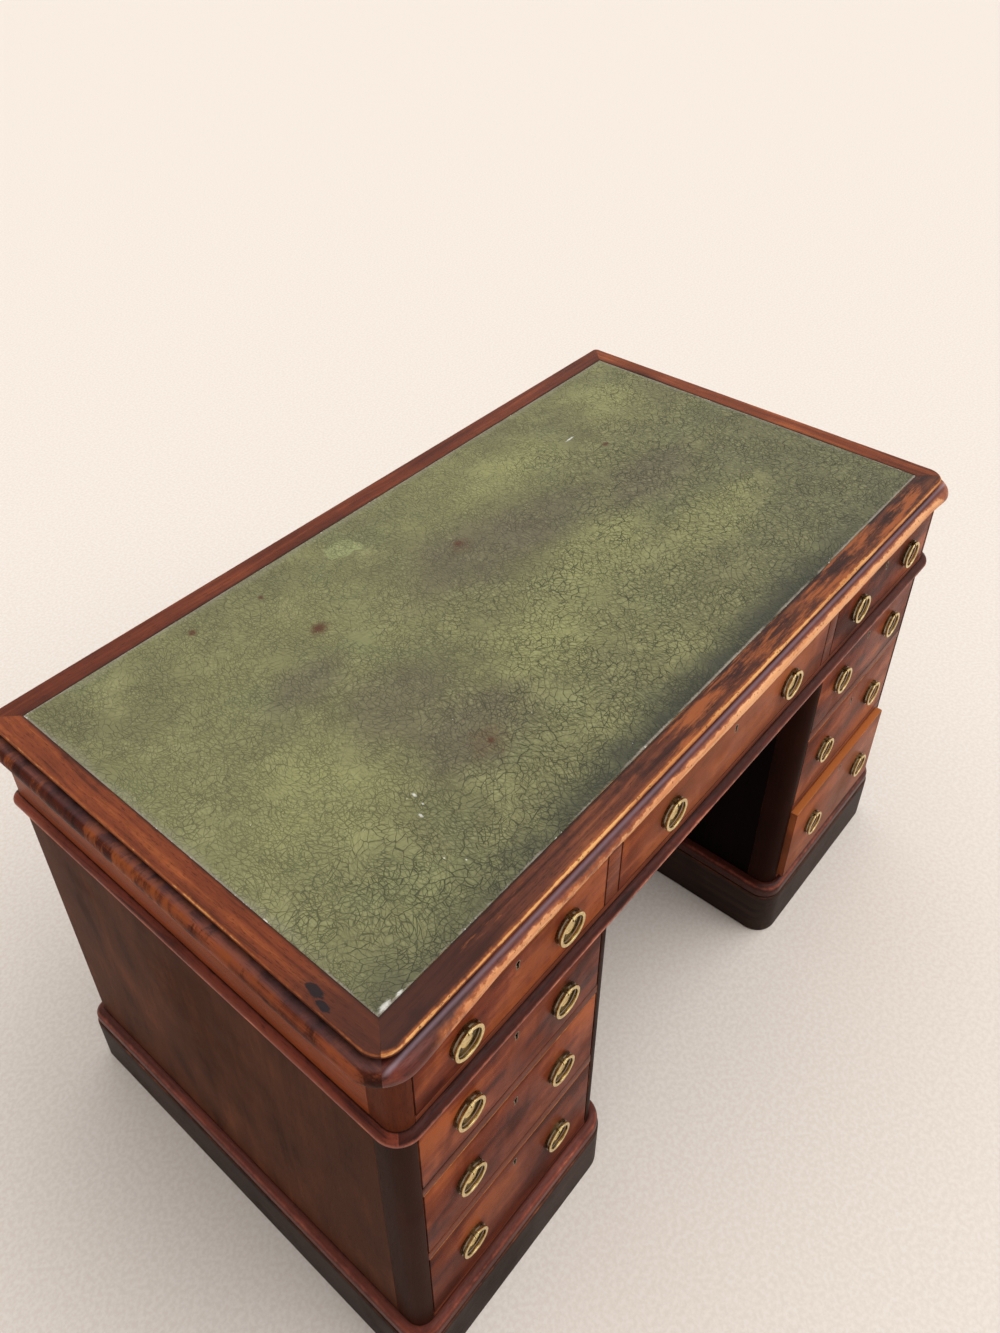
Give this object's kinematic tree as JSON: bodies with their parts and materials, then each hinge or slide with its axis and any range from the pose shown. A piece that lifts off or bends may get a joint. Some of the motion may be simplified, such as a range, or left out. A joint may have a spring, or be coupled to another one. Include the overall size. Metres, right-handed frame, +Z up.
{
  "type": "pedestal desk",
  "caption": "Leather-topped pedestal desk: a frieze of drawers with ring pulls over two drawer pedestals on moulded plinths, with an open knee-hole.",
  "frame": {"origin": "floor level, under the middle of the carcass", "axes": "+Z up, -Y out of the drawer fronts, +X to the right of a person sitting at the desk"},
  "size_m": [1.272, 0.7115, 0.76],
  "materials": {
    "mahogany": "old French polish, worn",
    "dark_mahogany": "dark, dull old polish",
    "stained_pine": "stained, dull",
    "pine": "bare",
    "oak": "bare, aged",
    "brass": "aged, worn bright where touched",
    "green_leather": "old, crackled, faded"
  },
  "bodies": {
    "carcass": {"leather_skiver": "green_leather", "top_panel": "pine", "top_border": "mahogany", "top_edge_moulding": "mahogany", "frieze_ends": "mahogany", "frieze_frame": "mahogany", "frieze_bead": "mahogany", "left_pedestal_sides": "mahogany", "left_pedestal_frame": "mahogany", "left_plinth": "dark_mahogany", "right_pedestal_sides": "mahogany", "right_pedestal_frame": "mahogany", "right_plinth": "dark_mahogany", "back_boards": "stained_pine", "drawer_runners": "oak"},
    "frieze_left_drawer": {"frieze_left_drawer_front": "mahogany", "frieze_left_drawer_box": "oak", "frieze_left_drawer_brass": "brass"},
    "frieze_left_left_ring": {"frieze_left_left_ring": "brass"},
    "frieze_left_right_ring": {"frieze_left_right_ring": "brass"},
    "frieze_centre_drawer": {"frieze_centre_drawer_front": "mahogany", "frieze_centre_drawer_box": "oak", "frieze_centre_drawer_brass": "brass"},
    "frieze_centre_left_ring": {"frieze_centre_left_ring": "brass"},
    "frieze_centre_right_ring": {"frieze_centre_right_ring": "brass"},
    "frieze_right_drawer": {"frieze_right_drawer_front": "mahogany", "frieze_right_drawer_box": "oak", "frieze_right_drawer_brass": "brass"},
    "frieze_right_left_ring": {"frieze_right_left_ring": "brass"},
    "frieze_right_right_ring": {"frieze_right_right_ring": "brass"},
    "left_top_drawer": {"left_top_drawer_front": "mahogany", "left_top_drawer_box": "oak", "left_top_drawer_brass": "brass"},
    "left_top_left_ring": {"left_top_left_ring": "brass"},
    "left_top_right_ring": {"left_top_right_ring": "brass"},
    "left_middle_drawer": {"left_middle_drawer_front": "mahogany", "left_middle_drawer_box": "oak", "left_middle_drawer_brass": "brass"},
    "left_middle_left_ring": {"left_middle_left_ring": "brass"},
    "left_middle_right_ring": {"left_middle_right_ring": "brass"},
    "left_bottom_drawer": {"left_bottom_drawer_front": "mahogany", "left_bottom_drawer_box": "oak", "left_bottom_drawer_brass": "brass"},
    "left_bottom_left_ring": {"left_bottom_left_ring": "brass"},
    "left_bottom_right_ring": {"left_bottom_right_ring": "brass"},
    "right_top_drawer": {"right_top_drawer_front": "mahogany", "right_top_drawer_box": "oak", "right_top_drawer_brass": "brass"},
    "right_top_left_ring": {"right_top_left_ring": "brass"},
    "right_top_right_ring": {"right_top_right_ring": "brass"},
    "right_middle_drawer": {"right_middle_drawer_front": "mahogany", "right_middle_drawer_box": "oak", "right_middle_drawer_brass": "brass"},
    "right_middle_left_ring": {"right_middle_left_ring": "brass"},
    "right_middle_right_ring": {"right_middle_right_ring": "brass"},
    "right_bottom_drawer": {"right_bottom_drawer_front": "mahogany", "right_bottom_drawer_box": "oak", "right_bottom_drawer_brass": "brass"},
    "right_bottom_left_ring": {"right_bottom_left_ring": "brass"},
    "right_bottom_right_ring": {"right_bottom_right_ring": "brass"}
  },
  "joints": [
    {"name": "frieze_left_drawer_slide", "type": "slide", "parent": "carcass", "child": "frieze_left_drawer", "axis": [0, -1, 0], "range_m": [0, 0.4]},
    {"name": "frieze_left_left_ring_swing", "type": "hinge", "parent": "frieze_left_drawer", "child": "frieze_left_left_ring", "pos_m": [-0.5145, -0.345, 0.69075], "axis": [-1, 0, 0], "range_deg": [0, 165]},
    {"name": "frieze_left_right_ring_swing", "type": "hinge", "parent": "frieze_left_drawer", "child": "frieze_left_right_ring", "pos_m": [-0.3465, -0.345, 0.69075], "axis": [-1, 0, 0], "range_deg": [0, 165]},
    {"name": "frieze_centre_drawer_slide", "type": "slide", "parent": "carcass", "child": "frieze_centre_drawer", "axis": [0, -1, 0], "range_m": [0, 0.4]},
    {"name": "frieze_centre_left_ring_swing", "type": "hinge", "parent": "frieze_centre_drawer", "child": "frieze_centre_left_ring", "pos_m": [-0.143, -0.345, 0.69075], "axis": [-1, 0, 0], "range_deg": [0, 165]},
    {"name": "frieze_centre_right_ring_swing", "type": "hinge", "parent": "frieze_centre_drawer", "child": "frieze_centre_right_ring", "pos_m": [0.143, -0.345, 0.69075], "axis": [-1, 0, 0], "range_deg": [0, 165]},
    {"name": "frieze_right_drawer_slide", "type": "slide", "parent": "carcass", "child": "frieze_right_drawer", "axis": [0, -1, 0], "range_m": [0, 0.4]},
    {"name": "frieze_right_left_ring_swing", "type": "hinge", "parent": "frieze_right_drawer", "child": "frieze_right_left_ring", "pos_m": [0.3465, -0.345, 0.69075], "axis": [-1, 0, 0], "range_deg": [0, 165]},
    {"name": "frieze_right_right_ring_swing", "type": "hinge", "parent": "frieze_right_drawer", "child": "frieze_right_right_ring", "pos_m": [0.5145, -0.345, 0.69075], "axis": [-1, 0, 0], "range_deg": [0, 165]},
    {"name": "left_top_drawer_slide", "type": "slide", "parent": "carcass", "child": "left_top_drawer", "axis": [0, -1, 0], "range_m": [0, 0.4]},
    {"name": "left_top_left_ring_swing", "type": "hinge", "parent": "left_top_drawer", "child": "left_top_left_ring", "pos_m": [-0.5145, -0.345, 0.54975], "axis": [-1, 0, 0], "range_deg": [0, 170]},
    {"name": "left_top_right_ring_swing", "type": "hinge", "parent": "left_top_drawer", "child": "left_top_right_ring", "pos_m": [-0.3465, -0.345, 0.54975], "axis": [-1, 0, 0], "range_deg": [0, 170]},
    {"name": "left_middle_drawer_slide", "type": "slide", "parent": "carcass", "child": "left_middle_drawer", "axis": [0, -1, 0], "range_m": [0, 0.4]},
    {"name": "left_middle_left_ring_swing", "type": "hinge", "parent": "left_middle_drawer", "child": "left_middle_left_ring", "pos_m": [-0.5145, -0.345, 0.39675], "axis": [-1, 0, 0], "range_deg": [0, 170]},
    {"name": "left_middle_right_ring_swing", "type": "hinge", "parent": "left_middle_drawer", "child": "left_middle_right_ring", "pos_m": [-0.3465, -0.345, 0.39675], "axis": [-1, 0, 0], "range_deg": [0, 170]},
    {"name": "left_bottom_drawer_slide", "type": "slide", "parent": "carcass", "child": "left_bottom_drawer", "axis": [0, -1, 0], "range_m": [0, 0.4]},
    {"name": "left_bottom_left_ring_swing", "type": "hinge", "parent": "left_bottom_drawer", "child": "left_bottom_left_ring", "pos_m": [-0.5145, -0.345, 0.22575], "axis": [-1, 0, 0], "range_deg": [0, 170]},
    {"name": "left_bottom_right_ring_swing", "type": "hinge", "parent": "left_bottom_drawer", "child": "left_bottom_right_ring", "pos_m": [-0.3465, -0.345, 0.22575], "axis": [-1, 0, 0], "range_deg": [0, 170]},
    {"name": "right_top_drawer_slide", "type": "slide", "parent": "carcass", "child": "right_top_drawer", "axis": [0, -1, 0], "range_m": [0, 0.4]},
    {"name": "right_top_left_ring_swing", "type": "hinge", "parent": "right_top_drawer", "child": "right_top_left_ring", "pos_m": [0.3465, -0.345, 0.54975], "axis": [-1, 0, 0], "range_deg": [0, 170]},
    {"name": "right_top_right_ring_swing", "type": "hinge", "parent": "right_top_drawer", "child": "right_top_right_ring", "pos_m": [0.5145, -0.345, 0.54975], "axis": [-1, 0, 0], "range_deg": [0, 170]},
    {"name": "right_middle_drawer_slide", "type": "slide", "parent": "carcass", "child": "right_middle_drawer", "axis": [0, -1, 0], "range_m": [0, 0.4]},
    {"name": "right_middle_left_ring_swing", "type": "hinge", "parent": "right_middle_drawer", "child": "right_middle_left_ring", "pos_m": [0.3465, -0.345, 0.39675], "axis": [-1, 0, 0], "range_deg": [0, 170]},
    {"name": "right_middle_right_ring_swing", "type": "hinge", "parent": "right_middle_drawer", "child": "right_middle_right_ring", "pos_m": [0.5145, -0.345, 0.39675], "axis": [-1, 0, 0], "range_deg": [0, 170]},
    {"name": "right_bottom_drawer_slide", "type": "slide", "parent": "carcass", "child": "right_bottom_drawer", "axis": [0, -1, 0], "range_m": [-0.0105, 0.3895]},
    {"name": "right_bottom_left_ring_swing", "type": "hinge", "parent": "right_bottom_drawer", "child": "right_bottom_left_ring", "pos_m": [0.3465, -0.3555, 0.22575], "axis": [-1, 0, 0], "range_deg": [0, 170]},
    {"name": "right_bottom_right_ring_swing", "type": "hinge", "parent": "right_bottom_drawer", "child": "right_bottom_right_ring", "pos_m": [0.5145, -0.3555, 0.22575], "axis": [-1, 0, 0], "range_deg": [0, 170]}
  ]
}
